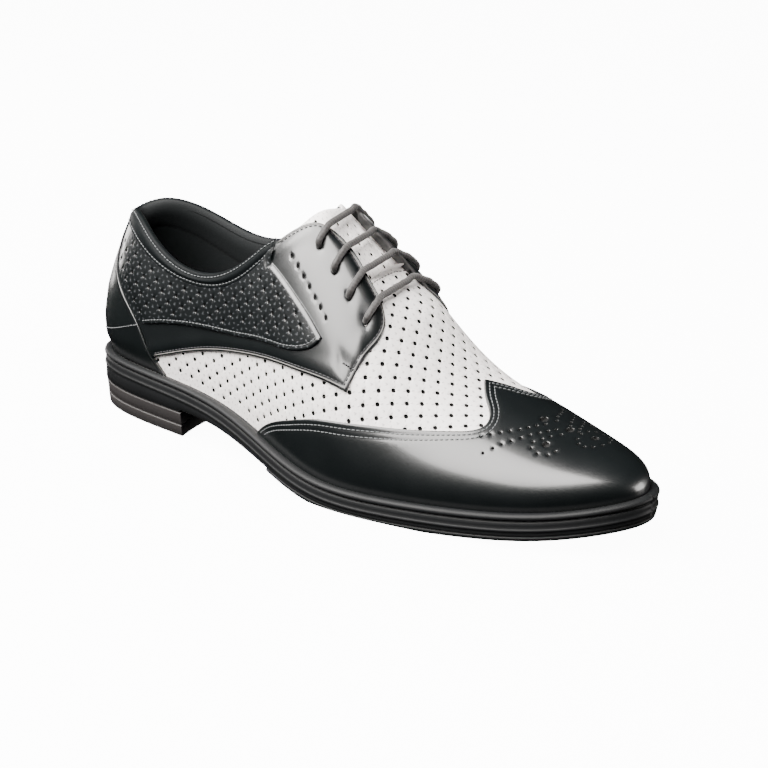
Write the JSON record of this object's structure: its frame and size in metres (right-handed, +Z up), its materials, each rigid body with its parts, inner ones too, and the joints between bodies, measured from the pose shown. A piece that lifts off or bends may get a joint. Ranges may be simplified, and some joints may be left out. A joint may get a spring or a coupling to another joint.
{
  "type": "wingtip lace-up shoe",
  "caption": "Right wingtip dress shoe: polished black leather over perforated white leather, open lacing, low stacked heel and a raised rim round the sole.",
  "frame": {"origin": "centre of the shoe's outline in plan, on the floor", "axes": "+X from heel to toe, +Y towards the inner side of the foot, +Z up"},
  "size_m": [0.302, 0.1018, 0.1208],
  "materials": {
    "black_leather": "polished, smooth",
    "white_leather": "satin, perforated",
    "black_rubber": "satin",
    "insole_board": "matt",
    "lace_cord": "waxed cord"
  },
  "bodies": {
    "root": {"heel_top_piece": "black_rubber", "heel_lift": "black_rubber", "forepart_tread": "black_rubber", "outsole": "black_rubber", "welt": "black_rubber", "insole": "insole_board", "upper": "white_leather", "tongue": "white_leather", "heel_counter": "black_leather", "quarter_outer": "black_leather", "quarter_inner": "black_leather", "toe_cap": "black_leather", "side_panel_outer": "black_leather", "side_panel_inner": "black_leather", "collar": "black_leather", "lace_bar_1": "lace_cord", "lace_bar_2": "lace_cord", "lace_bar_3": "lace_cord", "lace_bar_4": "lace_cord"}
  },
  "joints": []
}
